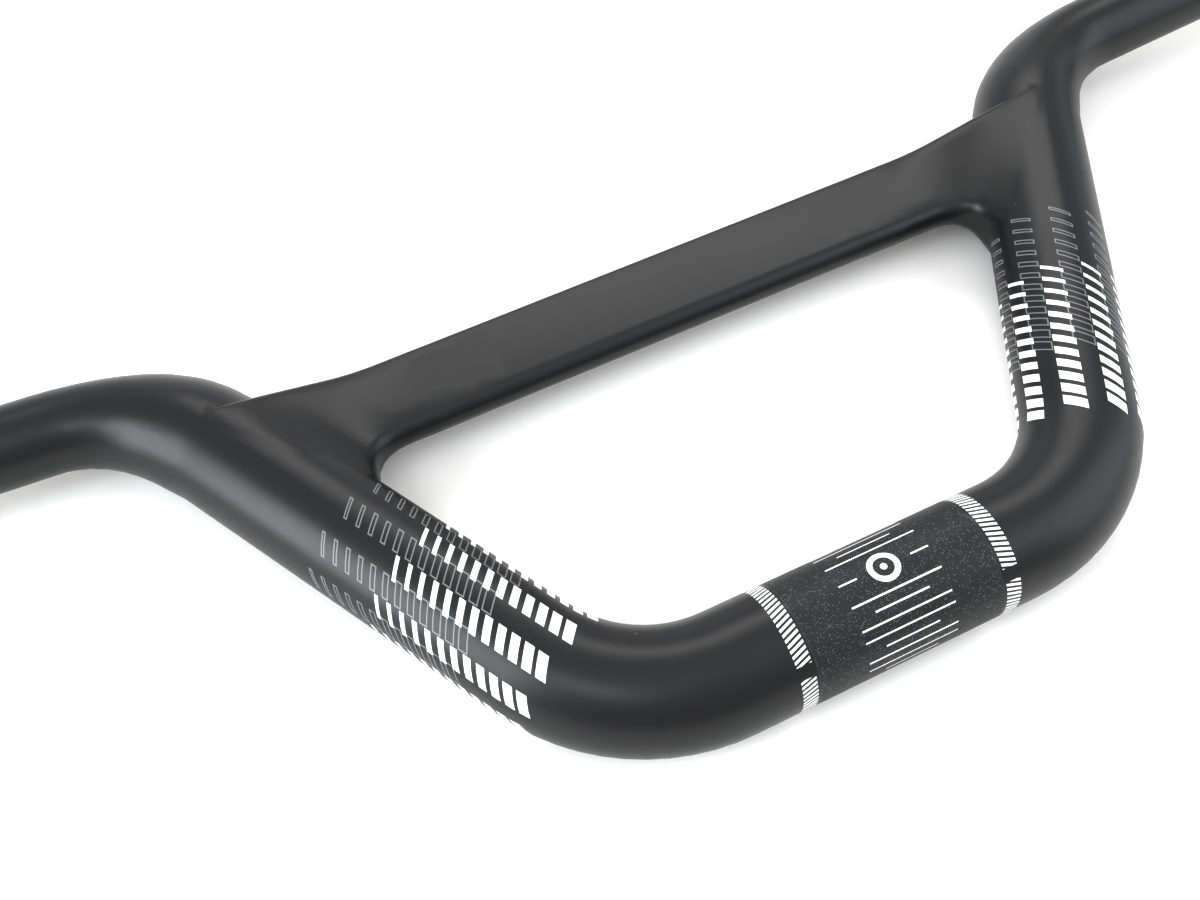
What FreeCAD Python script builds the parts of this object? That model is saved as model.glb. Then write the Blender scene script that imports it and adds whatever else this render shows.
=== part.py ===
import FreeCAD, Part
import math
import os
import Sketcher

# One-piece moulded race handlebar, lying on its uprights as it would on a table.
# Origin: centre of the clamp. +X runs along the clamp, +Y up the rise, +Z towards the rider's side.
# The right half is modelled from the clamp outwards and then mirrored.

V = FreeCAD.Vector

SIZES = (
    ("clamp_diameter", 31.8),
    ("grip_diameter", 22.2),
    ("wall_thickness", 2.4),
    ("clamp_straight", 80.5),
    ("lower_bend_radius", 45.0),
    ("splay_angle", 27.8),
    ("upright_length", 102.7),
    ("upper_bend_radius", 47.7),
    ("plain_bend_angle", 9.0),
    ("back_sweep", 5.5),
    ("overall_width", 711.0),
    ("crossbar_height", 109.05),
    ("crossbar_depth", 25.1),
    ("crossbar_thickness", 9.0),
    ("crossbar_wall", 2.0),
    ("nose_radius", 4.3),
    ("rim_radius", 2.0),
    ("foot_radius", 38.0),
    ("ramp_angle", 20.0),
    ("crest_radius", 15.2),
    ("crest_inset", 2.2),
    ("rim_proud", 0.3),
    ("rim_setback", 0.27),
    ("root_sink", 0.4),
    ("corner_drop", 15.5),
    ("web_lead", 5.0),
    ("web_run_in", 16.0),
    ("end_chamfer", 0.5),
)

doc = FreeCAD.newDocument("handlebar")
sheet = doc.addObject("Spreadsheet::Sheet", "Sizes")
for row, (alias, value) in enumerate(SIZES, start=1):
    sheet.set("A%d" % row, alias.replace("_", " "))
    sheet.set("B%d" % row, str(value))
    sheet.setAlias("B%d" % row, alias)
doc.recompute()

# Places that follow from the driving sizes.
layout = doc.addObject("App::VarSet", "Layout")
LAYOUT = (
    ("upright_start_x", "Sizes.clamp_straight / 2 + Sizes.lower_bend_radius * cos(Sizes.splay_angle)"),
    ("upright_start_y", "Sizes.lower_bend_radius * (1 - sin(Sizes.splay_angle))"),
    ("upright_end_x", "Layout.upright_start_x + Sizes.upright_length * sin(Sizes.splay_angle)"),
    ("upright_end_y", "Layout.upright_start_y + Sizes.upright_length * cos(Sizes.splay_angle)"),
    ("bend_turn", "acos(sin(Sizes.splay_angle) * cos(Sizes.back_sweep)) / 1 deg"),
    ("bend_roll", "asin(sin(Sizes.back_sweep) / sin(Layout.bend_turn)) / 1 deg"),
    ("bend_inward_x", "(cos(Sizes.back_sweep) - sin(Sizes.splay_angle) * cos(Layout.bend_turn))"
                      " / sin(Layout.bend_turn)"),
    ("grip_start_x", "Layout.upright_end_x + Sizes.upper_bend_radius * (sin(Layout.bend_turn)"
                     " * sin(Sizes.splay_angle) + (1 - cos(Layout.bend_turn)) * Layout.bend_inward_x)"),
    ("grip_length", "(Sizes.overall_width / 2 - Layout.grip_start_x) / cos(Sizes.back_sweep)"),
    ("junction_x", "Layout.upright_start_x + (Sizes.crossbar_height - Layout.upright_start_y)"
                   " * tan(Sizes.splay_angle)"),
    ("crest_base", "Sizes.clamp_diameter / 2 + Sizes.rim_proud - Sizes.crest_radius"),
    ("foot_middle", "Sizes.crest_inset + Sizes.crest_radius * sin(Sizes.ramp_angle) + (Layout.crest_base"
                    " + Sizes.crest_radius * cos(Sizes.ramp_angle) - Sizes.crossbar_thickness / 2)"
                    " / tan(Sizes.ramp_angle)"),
    ("foot_start", "Layout.foot_middle + Sizes.foot_radius * tan(Sizes.ramp_angle / 2)"),
    ("foot_end", "Layout.foot_start - Sizes.foot_radius * sin(Sizes.ramp_angle)"),
    ("corner_reach", "Layout.foot_end - Sizes.clamp_diameter / 2"),
    ("root_radius", "Sizes.clamp_diameter / 2 - Sizes.root_sink"),
    ("cove_radius", "(Layout.foot_end^2 + Sizes.crossbar_thickness^2 / 4 - Layout.root_radius^2)"
                    " / (2 * Layout.root_radius - Sizes.crossbar_thickness)"),
    ("cove_end", "Layout.root_radius * Layout.foot_end / (Layout.root_radius + Layout.cove_radius)"),
    ("straight_half", "Layout.junction_x - Sizes.crossbar_depth / 2 * tan(Sizes.splay_angle)"
                      " - (Layout.foot_start + Sizes.web_run_in) / cos(Sizes.splay_angle)"),
)
for name, formula in LAYOUT:
    layout.addProperty("App::PropertyFloat", name)
    layout.setExpression(name, formula)
    doc.recompute()

body = doc.addObject("PartDesign::Body", "Handlebar")
body.Label = "handlebar"
planes = {feature.Role: feature for feature in body.Origin.OriginFeatures}


def sketch_on(plane, name):
    sketch = body.newObject("Sketcher::SketchObject", name)
    sketch.AttachmentSupport = [(planes[plane], "")]
    sketch.MapMode = "FlatFace"
    return sketch


def constrain(sketch, expression, *args):
    index = sketch.addConstraint(Sketcher.Constraint(*args))
    sketch.setExpression("Constraints[%d]" % index, expression)


def arc(centre, radius, start, end):
    circle = Part.Circle(V(centre[0], centre[1], 0), V(0, 0, 1), radius)
    return Part.ArcOfCircle(circle, start, end)


def line(start, end):
    return Part.LineSegment(V(start[0], start[1], 0), V(end[0], end[1], 0))


# Round section standing square to an edge of a path, a given share of the way along it.
def round_section(path, edge, share, diameter, name):
    sketch = body.newObject("Sketcher::SketchObject", name)
    sketch.AttachmentSupport = [(path, edge)]
    sketch.MapMode = "NormalToEdge"
    sketch.MapPathParameter = share
    sketch.addGeometry(Part.Circle(V(0, 0, 0), V(0, 0, 1), sheet.grip_diameter / 2), False)
    sketch.addConstraint(Sketcher.Constraint("Coincident", 0, 3, -1, 1))
    constrain(sketch, diameter, "Diameter", 0, sheet.grip_diameter)
    return sketch


# Centreline of the clamp, the lower bend and the upright, all in one plane.
RAD = math.pi / 180
centreline = sketch_on("XY_Plane", "Centreline")
clamp_end = (sheet.clamp_straight / 2, 0)
upright_start = (layout.upright_start_x, layout.upright_start_y)
upright_end = (layout.upright_end_x, layout.upright_end_y)
centreline.addGeometry([
    line((0, 0), clamp_end),
    arc((clamp_end[0], sheet.lower_bend_radius), sheet.lower_bend_radius,
        -90 * RAD, -sheet.splay_angle * RAD),
    line(upright_start, upright_end),
], False)
centreline.addConstraint([
    Sketcher.Constraint("Coincident", 0, 1, -1, 1),
    Sketcher.Constraint("Horizontal", 0),
    Sketcher.Constraint("Tangent", 0, 2, 1, 1),
    Sketcher.Constraint("Tangent", 1, 2, 2, 1),
])
constrain(centreline, "Sizes.clamp_straight / 2", "Distance", 0, clamp_end[0])
constrain(centreline, "Sizes.lower_bend_radius", "Radius", 1, sheet.lower_bend_radius)
constrain(centreline, "Sizes.upright_length", "Distance", 2, sheet.upright_length)
constrain(centreline, "90 - Sizes.splay_angle", "Angle", 2, (90 - sheet.splay_angle) * RAD)
doc.recompute()

clamp_circle = round_section(centreline, "Edge1", 0.0, "Sizes.clamp_diameter", "ClampCircle")
lower_tube = body.newObject("PartDesign::AdditivePipe", "LowerTube")
lower_tube.Profile = clamp_circle
lower_tube.Spine = centreline
doc.recompute()

# Path of the upper bend, first plain and then narrowing. Its plane is rolled about the upright, which
# gives the grips their back sweep.
upper_path = sketch_on("XY_Plane", "UpperPath")
upper_path.setExpression(
    "AttachmentOffset",
    "create(<<placement>>; create(<<vector>>; Layout.upright_end_x; Layout.upright_end_y; 0);"
    " create(<<rotation>>; 90 - Sizes.splay_angle; 0; 180 - Layout.bend_roll))",
)
turn = layout.bend_turn * RAD
plain_turn = sheet.plain_bend_angle * RAD
bend_centre = (0, sheet.upper_bend_radius)
upper_path.addGeometry([
    arc(bend_centre, sheet.upper_bend_radius, -90 * RAD, plain_turn - 90 * RAD),
    arc(bend_centre, sheet.upper_bend_radius, plain_turn - 90 * RAD, turn - 90 * RAD),
], False)
upper_path.addConstraint([
    Sketcher.Constraint("Coincident", 0, 1, -1, 1),
    Sketcher.Constraint("PointOnObject", 0, 3, -2),
    Sketcher.Constraint("Tangent", 0, 2, 1, 1),
    Sketcher.Constraint("Equal", 0, 1),
])
constrain(upper_path, "Sizes.upper_bend_radius", "Radius", 0, sheet.upper_bend_radius)
constrain(upper_path, "Sizes.plain_bend_angle", "Angle", 0, plain_turn)
constrain(upper_path, "Layout.bend_turn - Sizes.plain_bend_angle", "Angle", 1, turn - plain_turn)
doc.recompute()

bend_circle = round_section(upper_path, "Edge1", 0.0, "Sizes.clamp_diameter", "BendCircle")
plain_bend = body.newObject("PartDesign::AdditivePipe", "PlainBend")
plain_bend.Profile = bend_circle
plain_bend.Spine = (upper_path, ["Edge1"])
doc.recompute()

# The tube narrows through the rest of the bend: share of the way along it, share of the narrowing.
TAPER = ((0.0, 0.0), (0.25, 0.22), (0.5, 0.6), (0.75, 0.9), (1.0, 1.0))
NARROWING = "Sizes.clamp_diameter - %g * (Sizes.clamp_diameter - Sizes.grip_diameter)"


def tapered_sections(reduction, prefix):
    sections = []
    for step, (share, done) in enumerate(TAPER):
        diameter = NARROWING % done + reduction
        sections.append(round_section(upper_path, "Edge2", share, diameter, "%s%d" % (prefix, step)))
    return sections


bend_sections = tapered_sections("", "BendSection")
upper_bend = body.newObject("PartDesign::AdditiveLoft", "UpperBend")
upper_bend.Profile = bend_sections[0]
upper_bend.Sections = bend_sections[1:]
doc.recompute()

grip_circle = round_section(upper_path, "Edge2", 1.0, "Sizes.grip_diameter", "GripCircle")
grip = body.newObject("PartDesign::Pad", "Grip")
grip.Profile = grip_circle
grip.Reversed = True
grip.setExpression("Length", "Layout.grip_length")
doc.recompute()


# Crossbar section: a round nose on the clamp side and a crisp rim on the other, which may be thicker.
# Its origin is at the crossbar's mid depth; "low" and "high" are measured from there along the sketch's x.
def wing_section(name, across, lean, low, high, nose_half, rim_half, nose, rim):
    sketch = sketch_on("YZ_Plane", name)
    sketch.AttachmentOffset = FreeCAD.Placement(V(0, 0, 0), FreeCAD.Rotation(V(0, -1, 0), 1))
    sketch.setExpression("AttachmentOffset.Base.x", "Sizes.crossbar_height")
    sketch.setExpression("AttachmentOffset.Base.z", across)
    sketch.setExpression("AttachmentOffset.Rotation.Angle", lean)
    u, w, h, n, r = 14.0, 14.0, 4.5, 4.0, 2.0
    sketch.addGeometry([
        arc((w - r, h - r), r, 0, 90 * RAD),
        line((w - r, h), (n - u, h)),
        arc((n - u, h - n), n, 90 * RAD, 180 * RAD),
        line((-u, h - n), (-u, n - h)),
        arc((n - u, n - h), n, 180 * RAD, 270 * RAD),
        line((n - u, -h), (w - r, -h)),
        arc((w - r, r - h), r, 270 * RAD, 360 * RAD),
        line((w, r - h), (w, h - r)),
    ], False)
    for k in range(8):
        sketch.addConstraint(Sketcher.Constraint("Tangent", k, 2, (k + 1) % 8, 1))
    for k in (3, 7):
        sketch.addConstraint(Sketcher.Constraint("Vertical", k))
    sketch.addConstraint(Sketcher.Constraint("Equal", 0, 6))
    sketch.addConstraint(Sketcher.Constraint("Equal", 2, 4))
    constrain(sketch, rim, "Radius", 0, r)
    constrain(sketch, nose, "Radius", 2, n)
    constrain(sketch, low, "DistanceX", 3, 1, -1, 1, u)
    constrain(sketch, high, "DistanceX", -1, 1, 7, 1, w)
    constrain(sketch, rim_half, "DistanceY", -1, 1, 1, 1, h)
    constrain(sketch, nose_half, "DistanceY", -1, 1, 1, 2, h)
    constrain(sketch, nose_half, "DistanceY", 5, 1, -1, 1, h)
    constrain(sketch, rim_half, "DistanceY", 5, 2, -1, 1, h)
    return sketch


HALF_DEPTH = "Sizes.crossbar_depth / 2"
HALF_THICK = "Sizes.crossbar_thickness / 2"
LEANING_HALF = "Sizes.crossbar_depth / 2 / cos(Sizes.splay_angle)"
straight_section = wing_section(
    "StraightSection", "0", "0", HALF_DEPTH, HALF_DEPTH, HALF_THICK, HALF_THICK,
    "Sizes.nose_radius", "Sizes.rim_radius")
crossbar = body.newObject("PartDesign::Pad", "Crossbar")
crossbar.Profile = straight_section
crossbar.setExpression("Length", "Layout.straight_half")
doc.recompute()

# Towards the upright the crossbar spreads into a web. Its rim climbs a ramp with a rounded foot, rides
# over the crown of the tube on a crest and dives into it. Its nose turns the corner of the opening while
# it rises in a cove, which runs into the tube just below the skin. Each station has its distance from the
# upright's axis, the half thickness at the nose and at the rim, and the share of the corner's drop.
TUBE_HALF = "Sizes.clamp_diameter / 2"
FOOT_AWAY = "Layout.foot_start - Sizes.foot_radius * sin(%s)"
FOOT_HIGH = HALF_THICK + " + Sizes.foot_radius * (1 - cos(%s))"
RAMP_HIGH = HALF_THICK + " + (Layout.foot_middle - (%s)) * tan(Sizes.ramp_angle)"
CREST_AWAY = "Sizes.crest_inset + Sizes.crest_radius * sin(%s)"
CREST_HIGH = "Layout.crest_base + Sizes.crest_radius * cos(%s)"
COVE_HIGH = HALF_THICK + " + Layout.cove_radius - sqrt(Layout.cove_radius^2 - (Layout.foot_end - (%s))^2)"
ROOT_HIGH = "sqrt(Layout.root_radius^2 - (%s)^2)"
CORNER_AWAY = TUBE_HALF + " + Layout.corner_reach * (1 - sin(%g))"
stations = [
    (FOOT_AWAY % "0" + " + Sizes.web_lead", HALF_THICK, HALF_THICK, 0),
    (FOOT_AWAY % "0", HALF_THICK, HALF_THICK, 0),
    (FOOT_AWAY % "Sizes.ramp_angle / 2", HALF_THICK, FOOT_HIGH % "Sizes.ramp_angle / 2", 0),
    (FOOT_AWAY % "Sizes.ramp_angle", HALF_THICK, FOOT_HIGH % "Sizes.ramp_angle", 0),
]
for angle in (25, 45, 62):
    away = CORNER_AWAY % angle
    stations.append((away, COVE_HIGH % away, RAMP_HIGH % away, 1 - math.cos(angle * RAD)))
# From here on the nose is inside the tube.
for away, drop in (("0.91 * " + TUBE_HALF, 0.9), ("Layout.cove_end", 1.1)):
    stations.append((away, COVE_HIGH % away, RAMP_HIGH % away, drop))
for angle in ("Sizes.ramp_angle", "0", "-Sizes.ramp_angle"):
    away = CREST_AWAY % angle
    stations.append((away, ROOT_HIGH % away, CREST_HIGH % angle, 1.15))
dive = "-2 * Sizes.ramp_angle"
stations.append((CREST_AWAY % dive, CREST_HIGH % dive, CREST_HIGH % dive, 1.15))

web_sections = []
for step, across in enumerate(("0", "Sizes.web_lead")):
    web_sections.append(wing_section(
        "LeadSection%d" % step, "Layout.straight_half + " + across, "0",
        HALF_DEPTH, HALF_DEPTH, HALF_THICK, HALF_THICK,
        "Sizes.nose_radius", "Sizes.rim_radius"))
for step, (away, nose_half, rim_half, drop) in enumerate(stations):
    web_sections.append(wing_section(
        "WebSection%d" % step,
        "Layout.junction_x - (%s) / cos(Sizes.splay_angle)" % away,
        "Sizes.splay_angle",
        "%s + %g * Sizes.corner_drop" % (LEANING_HALF, drop),
        "%s - Sizes.rim_setback * (%s - %s)" % (LEANING_HALF, rim_half, HALF_THICK),
        nose_half, rim_half, "Sizes.nose_radius", "Sizes.rim_radius"))
web = body.newObject("PartDesign::AdditiveLoft", "Web")
web.Profile = web_sections[0]
web.Sections = web_sections[1:]
doc.recompute()

# Hollow inside: one bore follows the whole tube, and a slot runs through the crossbar into it.
BORE = "Sizes.%s_diameter - 2 * Sizes.wall_thickness"
bore_circle = round_section(centreline, "Edge1", 0.0, BORE % "clamp", "BoreCircle")
lower_bore = body.newObject("PartDesign::SubtractivePipe", "LowerBore")
lower_bore.Profile = bore_circle
lower_bore.Spine = centreline
doc.recompute()

bend_bore_circle = round_section(upper_path, "Edge1", 0.0, BORE % "clamp", "BendBoreCircle")
bend_bore = body.newObject("PartDesign::SubtractivePipe", "BendBore")
bend_bore.Profile = bend_bore_circle
bend_bore.Spine = (upper_path, ["Edge1"])
doc.recompute()

bore_sections = tapered_sections(" - 2 * Sizes.wall_thickness", "BoreSection")
upper_bore = body.newObject("PartDesign::SubtractiveLoft", "UpperBore")
upper_bore.Profile = bore_sections[0]
upper_bore.Sections = bore_sections[1:]
doc.recompute()

grip_bore_circle = round_section(upper_path, "Edge2", 1.0, BORE % "grip", "GripBoreCircle")
grip_bore = body.newObject("PartDesign::Pocket", "GripBore")
grip_bore.Profile = grip_bore_circle
grip_bore.setExpression("Length", "Layout.grip_length")
doc.recompute()

INNER_DEPTH = "Sizes.crossbar_depth / 2 - Sizes.crossbar_wall"
INNER_THICK = "Sizes.crossbar_thickness / 2 - Sizes.crossbar_wall"
slot_section = wing_section(
    "SlotSection", "0", "0", INNER_DEPTH, INNER_DEPTH, INNER_THICK, INNER_THICK,
    "Sizes.nose_radius - Sizes.crossbar_wall", "Sizes.rim_radius / 2")
slot = body.newObject("PartDesign::Pocket", "CrossbarSlot")
slot.Profile = slot_section
slot.Reversed = True
slot.setExpression("Length", "Layout.junction_x")
doc.recompute()


# Rim of the open end of the tube.
def end_rim(shape):
    far = shape.BoundBox.XMax
    rims = []
    for index, edge in enumerate(shape.Edges, start=1):
        if edge.BoundBox.XMax > far - 0.1 and edge.Curve.TypeId == "Part::GeomCircle":
            rims.append("Edge%d" % index)
    return rims


end_edge = body.newObject("PartDesign::Chamfer", "EndChamfer")
end_edge.Base = (slot, end_rim(slot.Shape))
end_edge.setExpression("Size", "Sizes.end_chamfer")
doc.recompute()

whole = body.newObject("PartDesign::Mirrored", "BothHalves")
whole.TransformMode = "Whole shape"
whole.MirrorPlane = (planes["YZ_Plane"], [""])
body.Tip = whole
doc.recompute()

for item in doc.Objects:
    if "Invalid" in item.State or "Error" in item.State:
        raise RuntimeError("%s did not build" % item.Label)
shape = body.Shape
if shape.isNull() or not shape.isValid() or len(shape.Solids) != 1:
    raise RuntimeError("the bar is not one valid solid")

crossbar_skin = V(0, sheet.crossbar_height, sheet.crossbar_thickness / 2 - sheet.crossbar_wall / 2)
if not shape.isInside(crossbar_skin, 0.01, False):
    raise RuntimeError("the crossbar is not joined to the tube")

os.makedirs("parts", exist_ok=True)
shape.exportStep("parts/%s.step" % body.Label)
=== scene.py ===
import math

import bmesh
import bpy
from mathutils import Matrix, Vector


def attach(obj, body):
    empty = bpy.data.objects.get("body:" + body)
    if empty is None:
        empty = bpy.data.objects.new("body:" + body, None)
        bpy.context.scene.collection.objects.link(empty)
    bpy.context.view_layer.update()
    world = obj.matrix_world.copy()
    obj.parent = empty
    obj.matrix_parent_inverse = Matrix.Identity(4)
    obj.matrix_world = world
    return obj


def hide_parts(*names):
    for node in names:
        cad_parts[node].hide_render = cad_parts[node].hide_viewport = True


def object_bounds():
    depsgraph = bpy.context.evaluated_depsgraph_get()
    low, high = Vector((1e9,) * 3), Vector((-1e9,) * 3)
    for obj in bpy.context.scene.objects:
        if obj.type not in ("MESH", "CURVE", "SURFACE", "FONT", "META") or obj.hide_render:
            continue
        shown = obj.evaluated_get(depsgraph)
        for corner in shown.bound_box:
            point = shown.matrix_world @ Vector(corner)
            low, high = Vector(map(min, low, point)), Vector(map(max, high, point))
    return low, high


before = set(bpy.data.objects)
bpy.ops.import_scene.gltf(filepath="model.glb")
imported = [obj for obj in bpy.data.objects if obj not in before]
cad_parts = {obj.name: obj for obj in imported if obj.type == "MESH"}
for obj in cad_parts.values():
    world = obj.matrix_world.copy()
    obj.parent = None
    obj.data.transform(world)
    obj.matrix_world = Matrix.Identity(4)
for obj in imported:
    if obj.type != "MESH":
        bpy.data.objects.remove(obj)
cad_low, cad_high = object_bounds()
scene = bpy.context.scene

# The bar is one hollow carbon moulding: clamp tube, lower bends, uprights, flat crossbar, upper bends and
# grips. Its loose facets are joined into a single skin, so that the lacquer flows over the blends, and only
# the cut ends and the crease behind the crossbar's rim keep a crisp edge.
SHARP = math.radians(38)
WELD = 4e-6

skin = bmesh.new()
skin.from_mesh(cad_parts["handlebar"].data)
bmesh.ops.remove_doubles(skin, verts=skin.verts, dist=WELD)
bmesh.ops.dissolve_degenerate(skin, edges=skin.edges, dist=WELD / 4)
for face in skin.faces:
    face.smooth = True
for edge in skin.edges:
    edge.smooth = len(edge.link_faces) == 2 and edge.calc_face_angle(0) < SHARP
bar_mesh = bpy.data.meshes.new("moulded_bar")
skin.to_mesh(bar_mesh)
skin.free()
facet_normals = bar_mesh.attributes.get("custom_normal")
if facet_normals:
    bar_mesh.attributes.remove(facet_normals)
bar = bpy.data.objects.new("moulded_bar", bar_mesh)
scene.collection.objects.link(bar)
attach(bar, "root")
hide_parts("handlebar")


# Satin black lacquer, sprayed over the laminate: a faint orange peel, slightly uneven gloss and a little
# dust. Places on it are in millimetres from the middle of the clamp, and turns round a tube in degrees.
class Field:
    """A value over the surface. Arithmetic on it adds Math nodes, and node() adds any other node."""

    def __init__(self, tree, socket=None):
        self.tree = tree
        self.socket = socket

    def node(self, kind, settings=None, inputs=None, out=0):
        made = self.tree.nodes.new(kind)
        for name, value in (settings or {}).items():
            setattr(made, name, value)
        for key, value in (inputs or {}).items():
            if isinstance(value, Field):
                self.tree.links.new(value.socket, made.inputs[key])
            else:
                made.inputs[key].default_value = value
        return Field(self.tree, made.outputs[out] if made.outputs else None)

    def math(self, operation, *values):
        return self.node("ShaderNodeMath", {"operation": operation}, dict(enumerate(values)))

    def __add__(self, other):
        return self.math("ADD", self, other)

    def __radd__(self, other):
        return self.math("ADD", other, self)

    def __sub__(self, other):
        return self.math("SUBTRACT", self, other)

    def __rsub__(self, other):
        return self.math("SUBTRACT", other, self)

    def __mul__(self, other):
        return self.math("MULTIPLY", self, other)

    def __rmul__(self, other):
        return self.math("MULTIPLY", other, self)

    def __truediv__(self, other):
        return self.math("DIVIDE", self, other)

    def __abs__(self):
        return self.math("ABSOLUTE", self)

    def __gt__(self, other):
        return self.math("GREATER_THAN", self, other)

    def __lt__(self, other):
        return self.math("LESS_THAN", self, other)

    def __or__(self, other):
        return self.math("MAXIMUM", self, other)

    def whole(self):
        return self.math("FLOOR", self + 0.5)

    def near(self, centre, half):
        return self.math("COMPARE", self, centre, half)

    def repeat(self, step):
        return self.math("WRAP", self, step / 2, -step / 2)

    def radius(self, other):
        return self.math("SQRT", self * self + other * other)

    def turn(self, other):
        return self.math("ARCTAN2", self, other) * math.degrees(1)

    def mix(self, first, second):
        return self.node("ShaderNodeMix", {"data_type": "RGBA"}, {0: self, 6: first, 7: second}, 2)


TUBE_RADIUS = 15.9
DEGREE_ARC = TUBE_RADIUS * math.radians(1)
BLACK = (0.0103, 0.0105, 0.0114, 1.0)
MOTE = (0.24, 0.24, 0.24, 1.0)

lacquer = bpy.data.materials.new("satin_black_lacquer")
lacquer.use_nodes = True
lacquer.node_tree.nodes.clear()
coat = Field(lacquer.node_tree)
place = coat.node("ShaderNodeTexCoord", out="Object")
place_mm = [1000 * coat.node("ShaderNodeSeparateXYZ", inputs={0: place}, out=axis) for axis in "XYZ"]
x_mm, y_mm, z_mm = place_mm
across = abs(x_mm)


def noise(scale, detail):
    return coat.node("ShaderNodeTexNoise", inputs={"Vector": place, "Scale": scale, "Detail": detail})


def specks(scale, size, share):
    cells = {"Vector": place, "Scale": scale}
    tint = coat.node("ShaderNodeTexVoronoi", inputs=cells, out="Color")
    luck = coat.node("ShaderNodeSeparateColor", inputs={"Color": tint})
    return (coat.node("ShaderNodeTexVoronoi", inputs=cells) < size) * (luck > 1 - share) * luck


peel = noise(scale=620.0, detail=2.0)
haze = noise(scale=26.0, detail=3.0)
motes = specks(scale=190.0, size=0.035, share=0.07)

# The clamp zone, where the stem grips: fine grit in the lacquer, its grains shown by painted glints, pale
# specks in the colour that stand in for light caught by the grit, a printed angle scale of fine lines
# along the tube with a plain ring as its centre mark, and a hatched band in three lengths round each edge.
CLAMP_MIDDLE = 2.2
CLAMP_SKIN = 0.4
ZONE_HALF = 25.8
ZONE_EDGE = 0.11
ZONE_BLACK = (0.0140, 0.0143, 0.0152, 1.0)
# Painted glint: the pale colour of the grit's specks, standing in for light caught by the grains.
GRIT_GLINT = (0.17, 0.175, 0.185, 1.0)
MARK_TURN = 6.0
RING_RADIUS = 3.4
RING_HALF = 0.75
DOT_RADIUS = 0.9
LINE_STEP = 11.05
LINE_HALF = 0.24
LAST_LINE = 9
SHORT_EVERY = 3.0
LONG_REACH = 12.5
SHORT_REACH = 7.5
BAND_MIDDLE = 28.7
BAND_HALF = 2.05
BAND_TURN = 11.5
BAND_STEP = 120.0
BAND_REACH = 53.5
HATCH_STEP = 5.0
HATCH_HALF = 1.35
HATCH_SLANT = 0.36

from_middle = x_mm - CLAMP_MIDDLE
round_clamp = y_mm.turn(z_mm)
clamp_skin = y_mm.radius(z_mm).near(TUBE_RADIUS, CLAMP_SKIN)
zone = clamp_skin * from_middle.near(0, ZONE_HALF)
zone_edge = clamp_skin * abs(from_middle).near(ZONE_HALF, ZONE_EDGE)
grit = noise(scale=2600.0, detail=3.0)
# Painted glints: pale specks over the clamp zone where the grit would catch the light.
grit_glints = zone * specks(scale=2300.0, size=0.30, share=0.40)

line_count = (round_clamp - MARK_TURN) / LINE_STEP
line_number = line_count.whole()
on_line = abs(line_count - line_number) < LINE_HALF / (LINE_STEP * DEGREE_ARC)
short_line = line_number.math("FLOORED_MODULO", line_number, SHORT_EVERY) < 0.5
beside_mark = line_number.near(0, 0.1)
line_reach = LONG_REACH - (LONG_REACH - SHORT_REACH) * short_line * (1 - beside_mark)
clear_of_mark = (abs(line_number) > 1.5) | beside_mark * (abs(from_middle) > SHORT_REACH)
in_scale = abs(line_number) < LAST_LINE + 0.5
scale_lines = on_line * (abs(from_middle) < line_reach) * clear_of_mark * in_scale
from_mark = from_middle.radius((round_clamp - MARK_TURN) * DEGREE_ARC)
centre_mark = from_mark.near(RING_RADIUS, RING_HALF) | (from_mark < DOT_RADIUS)
hatch_turn = round_clamp + (abs(from_middle) - BAND_MIDDLE) * (HATCH_SLANT / DEGREE_ARC)
hatch = abs(from_middle).near(BAND_MIDDLE, BAND_HALF) * (abs(hatch_turn.repeat(HATCH_STEP)) < HATCH_HALF)
hatch_bands = hatch * (abs((round_clamp - BAND_TURN).repeat(BAND_STEP)) < BAND_REACH)
clamp_print = clamp_skin * (scale_lines | centre_mark | hatch_bands)

# Rows of slanted bars printed along the uprights, white and narrowing towards the crossbar, nine rows round
# each tube, and fine grey outlines of the same bars between the rows, five steps further up.
SPLAY = math.radians(27.8)
UPRIGHT_X = 80.056
UPRIGHT_Y = 24.013
UPRIGHT_SKIN = 1.5
PRINT_MIDDLE = 26.0
PRINT_REACH = 40.0
ROW_STEP = 40.0
ROW_HALF = 2.9
ROW_FOOT = -7.0
BAR_COUNT = 12
BAR_STEP = 4.0
BAR_HALF = 1.45
NARROWING = 0.08
SLANT = 0.46
HAIR = 0.36
WHITE_TURN = 20.0
OUTLINE_TURN = 42.0
OUTLINE_RAISE = 20.0
WHITE = (0.84, 0.84, 0.83, 1.0)
GREY = (0.19, 0.19, 0.195, 1.0)

from_x = across - UPRIGHT_X
from_y = y_mm - UPRIGHT_Y
along = from_x * math.sin(SPLAY) + from_y * math.cos(SPLAY)
outward = from_x * math.cos(SPLAY) - from_y * math.sin(SPLAY)
round_upright = outward.turn(z_mm)
upright_skin = outward.radius(z_mm).near(TUBE_RADIUS, UPRIGHT_SKIN) * along.near(PRINT_MIDDLE, PRINT_REACH)


def slanted_bars(turned, raised, inset):
    beside_row = (round_upright + turned).repeat(ROW_STEP) * DEGREE_ARC
    bar_count = (along - ROW_FOOT - raised + beside_row * SLANT) / BAR_STEP
    number = bar_count.whole()
    bar_half = (BAR_HALF - inset - number * NARROWING) / BAR_STEP
    in_row = beside_row.near(0, ROW_HALF - inset) * number.near((BAR_COUNT - 1) / 2, BAR_COUNT / 2 - 0.4)
    return upright_skin * in_row * (abs(bar_count - number) < bar_half)


white_bars = slanted_bars(WHITE_TURN, raised=0.0, inset=0.0)
outer_bars = slanted_bars(OUTLINE_TURN, OUTLINE_RAISE, inset=0.0)
outlines = outer_bars - slanted_bars(OUTLINE_TURN, OUTLINE_RAISE, inset=HAIR)

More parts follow.
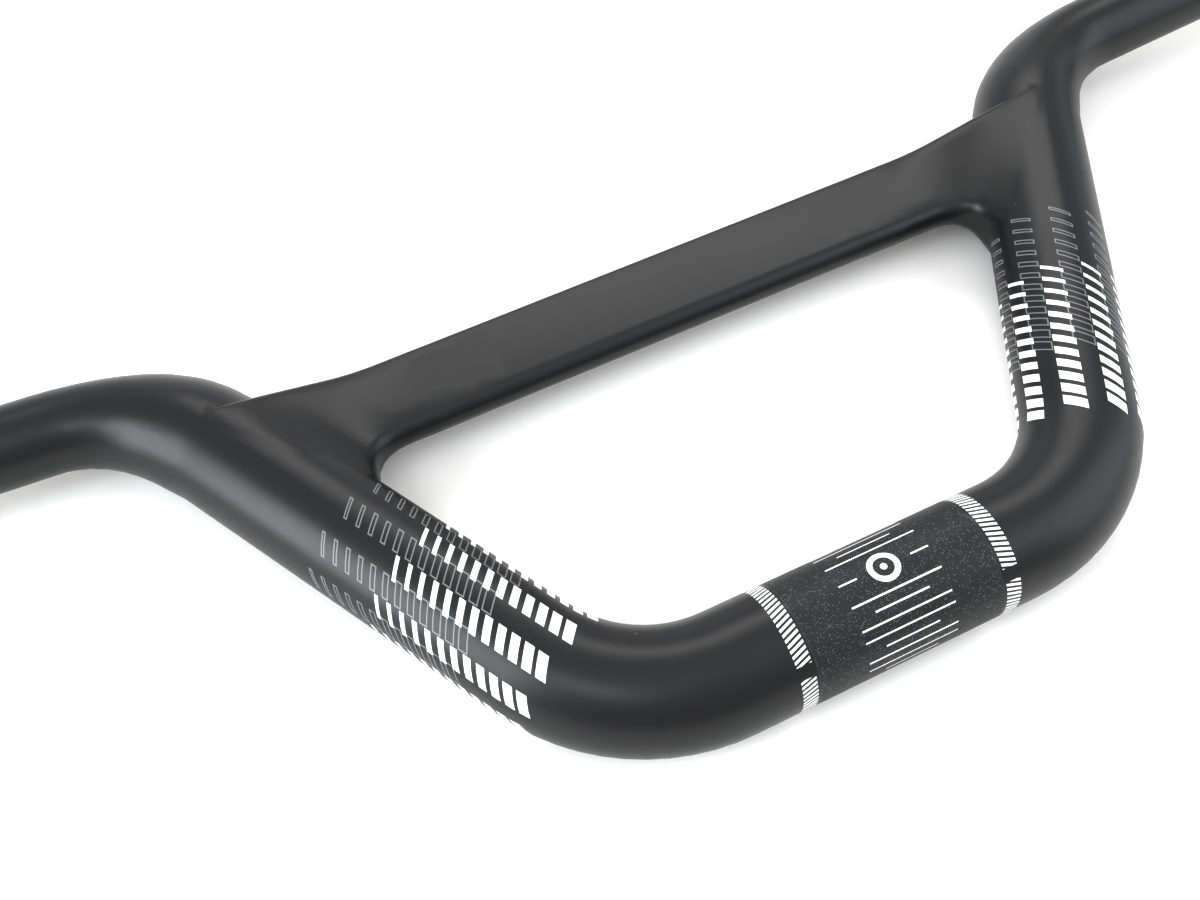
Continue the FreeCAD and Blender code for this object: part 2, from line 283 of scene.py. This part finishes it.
# The sawn ends and the bores are bare laminate: thin dark plies in rings on the cut, and the dull, wrinkled
# face that the moulding bladder leaves inside.
GRIP_X = 262.816
GRIP_Y = 140.382
GRIP_Z = 11.690
SWEEP = math.radians(5.5)
GRIP_HALF = 93.1
CUT_DEPTH = 0.05
BORE_REACH = 9.6
PLY = 0.3
PLY_WAVER = 0.12
PLY_DARK = (0.012, 0.012, 0.013, 1.0)
PLY_PALE = (0.052, 0.052, 0.054, 1.0)

grip_x = across - GRIP_X
grip_z = z_mm - GRIP_Z
grip_along = grip_x * math.cos(SWEEP) + grip_z * math.sin(SWEEP)
grip_radius = (y_mm - GRIP_Y).radius(grip_z * math.cos(SWEEP) - grip_x * math.sin(SWEEP))
cut = grip_along > GRIP_HALF - CUT_DEPTH
bore = (grip_radius < BORE_REACH) * (grip_along > -GRIP_HALF)
bare = cut | bore
plies = abs((grip_radius + noise(scale=900.0, detail=2.0) * PLY_WAVER).repeat(PLY)) * (2 / PLY)
wrinkles = noise(scale=180.0, detail=4.0)

# The finishes lie over each other as they are put on: lacquer, grit, printed ink, and bare where it is cut.
# The zone's edge shows as a faint line, and grit and bare laminate are duller than the lacquer.
EDGE_SHOW = 0.12
LACQUER_DULL = 0.320
HAZE_DULL = 0.05
PEEL_DULL = 0.03
GRIT_DULL = 0.15
BARE_DULL = 0.2
PEEL_RISE = 0.10
GRIT_RISE = 0.9
ZONE_RISE = 0.5
WRINKLE_RISE = 3.0
RELIEF_STRENGTH = 0.5
RELIEF_DEPTH = 0.00008
LACQUER_IOR = 1.46

colour = motes.mix(zone.mix(BLACK, ZONE_BLACK), MOTE)
# The painted glints of the grit go on in their pale colour, and the zone's edge takes a faint line of it.
colour = (grit_glints | zone_edge * EDGE_SHOW).mix(colour, GRIT_GLINT)
colour = outlines.mix(colour, GREY)
colour = (white_bars | clamp_print).mix(colour, WHITE)
colour = bare.mix(colour, (cut * plies).mix(PLY_DARK, PLY_PALE))
dullness = LACQUER_DULL + HAZE_DULL * haze + PEEL_DULL * peel + GRIT_DULL * zone + BARE_DULL * bare
relief = peel * PEEL_RISE + zone * (grit * GRIT_RISE + ZONE_RISE) + bore * wrinkles * WRINKLE_RISE
bump_inputs = {"Strength": RELIEF_STRENGTH, "Distance": RELIEF_DEPTH, "Height": relief}
bump = coat.node("ShaderNodeBump", inputs=bump_inputs)
paint_inputs = {"Base Color": colour, "Roughness": dullness, "Normal": bump, "IOR": LACQUER_IOR}
paint = coat.node("ShaderNodeBsdfPrincipled", inputs=paint_inputs)
coat.node("ShaderNodeOutputMaterial", inputs={"Surface": paint})
bar_mesh.materials.append(lacquer)

# The floor is a plain sheet of matt, slightly warm white paper, lit until it almost loses its tone. The bar
# lies on it with its thick tubes, and the grips sweep up clear of it.
FLOOR_HALF = 40.0
PAPER = (0.95, 0.94, 0.915, 1.0)

floor_mesh = bpy.data.meshes.new("floor")
sheet = bmesh.new()
bmesh.ops.create_grid(sheet, x_segments=1, y_segments=1, size=FLOOR_HALF)
sheet.to_mesh(floor_mesh)
sheet.free()
floor = bpy.data.objects.new("floor", floor_mesh)
floor.location = (0, 0, cad_low.z)
scene.collection.objects.link(floor)
paper = bpy.data.materials.new("white_sheet")
paper.use_nodes = True
paper_shader = paper.node_tree.nodes["Principled BSDF"]
paper_shader.inputs["Base Color"].default_value = PAPER
paper_shader.inputs["Roughness"].default_value = 0.9
paper_shader.inputs["Specular IOR Level"].default_value = 0.1
floor_mesh.materials.append(paper)

# Soft studio light, so that the tubes have dark tops and pale flanks: a tall, narrow panel like a window on
# the left, a small one higher up in front of it, a long one high behind the crossbar, a wide dim one at the
# front right, and weak ones low behind, low at the right and overhead, in a room that is lighter above.
OPENING_MIDDLE = Vector((0, 0.06, 0))
NEUTRAL = (1.0, 1.0, 1.0)
COOL = (0.92, 0.95, 1.0)
BLUISH = (0.85, 0.91, 1.0)
ROOM_LIGHT = 0.58


def panel(name, turn, rise, distance, size, radiance, tint):
    width, height = size
    data = bpy.data.lights.new(name, "AREA")
    data.shape = "RECTANGLE"
    data.size = width
    data.size_y = height
    data.energy = radiance * math.pi * width * height
    data.color = tint
    lamp = bpy.data.objects.new(name, data)
    side = math.radians(turn)
    lift = math.radians(rise)
    away = Vector((math.cos(side) * math.cos(lift), math.sin(side) * math.cos(lift), math.sin(lift)))
    lamp.location = OPENING_MIDDLE + away * distance
    lamp.rotation_euler = away.to_track_quat("Z", "Y").to_euler()
    scene.collection.objects.link(lamp)


panel("left_window", turn=182, rise=21, distance=1.0, size=(0.44, 0.76), radiance=9.6, tint=COOL)
panel("back_panel", turn=66, rise=46, distance=1.0, size=(0.86, 0.30), radiance=4.6, tint=NEUTRAL)
panel("upper_left_panel", turn=214, rise=56, distance=1.0, size=(0.46, 0.32), radiance=4.4, tint=COOL)
panel("right_panel", turn=330, rise=32, distance=1.2, size=(0.90, 1.15), radiance=2.4, tint=COOL)
panel("low_panel", turn=85, rise=10, distance=1.2, size=(1.40, 0.36), radiance=0.95, tint=COOL)
panel("side_panel", turn=8, rise=10, distance=1.2, size=(0.90, 0.40), radiance=0.8, tint=BLUISH)
panel("ceiling_panel", turn=300, rise=80, distance=1.2, size=(1.00, 0.60), radiance=0.5, tint=NEUTRAL)

studio = bpy.data.worlds.new("studio")
scene.world = studio
studio.use_nodes = True
room = Field(studio.node_tree)
direction = room.node("ShaderNodeTexCoord", out="Generated")
height = room.node("ShaderNodeSeparateXYZ", inputs={0: direction}, out="Z")
glow = height * ROOM_LIGHT + ROOM_LIGHT
backdrop = studio.node_tree.nodes["Background"]
studio.node_tree.links.new(glow.socket, backdrop.inputs["Strength"])
backdrop.inputs["Color"].default_value = (1.0, 1.0, 1.0, 1.0)

# The camera: above and to the left of the clamp, close enough for the near upright to look larger. The view
# has a little contrast, as a photograph of black on white has, so that the sheet stays white.
EYE = Vector((-0.1274, -0.1181, 0.3252))
AHEAD = Vector((0.2283, 0.4893, -0.8417)).normalized()
RIGHTWARD = Vector((0.8958, -0.4442, -0.0153))
LENS = 43.868
SENSOR = 36.0

camera_data = bpy.data.cameras.new("camera")
camera_data.sensor_width = SENSOR
camera_data.lens = LENS
camera_data.clip_start = 0.01
camera_data.clip_end = 200.0
camera = bpy.data.objects.new("camera", camera_data)
right = (RIGHTWARD - AHEAD * RIGHTWARD.dot(AHEAD)).normalized()
up = right.cross(AHEAD)
camera_turn = Matrix((right, up, -AHEAD)).transposed()
camera.matrix_world = Matrix.Translation(EYE) @ camera_turn.to_4x4()
scene.collection.objects.link(camera)
scene.camera = camera
scene.view_settings.view_transform = "Standard"
scene.view_settings.gamma = 0.8
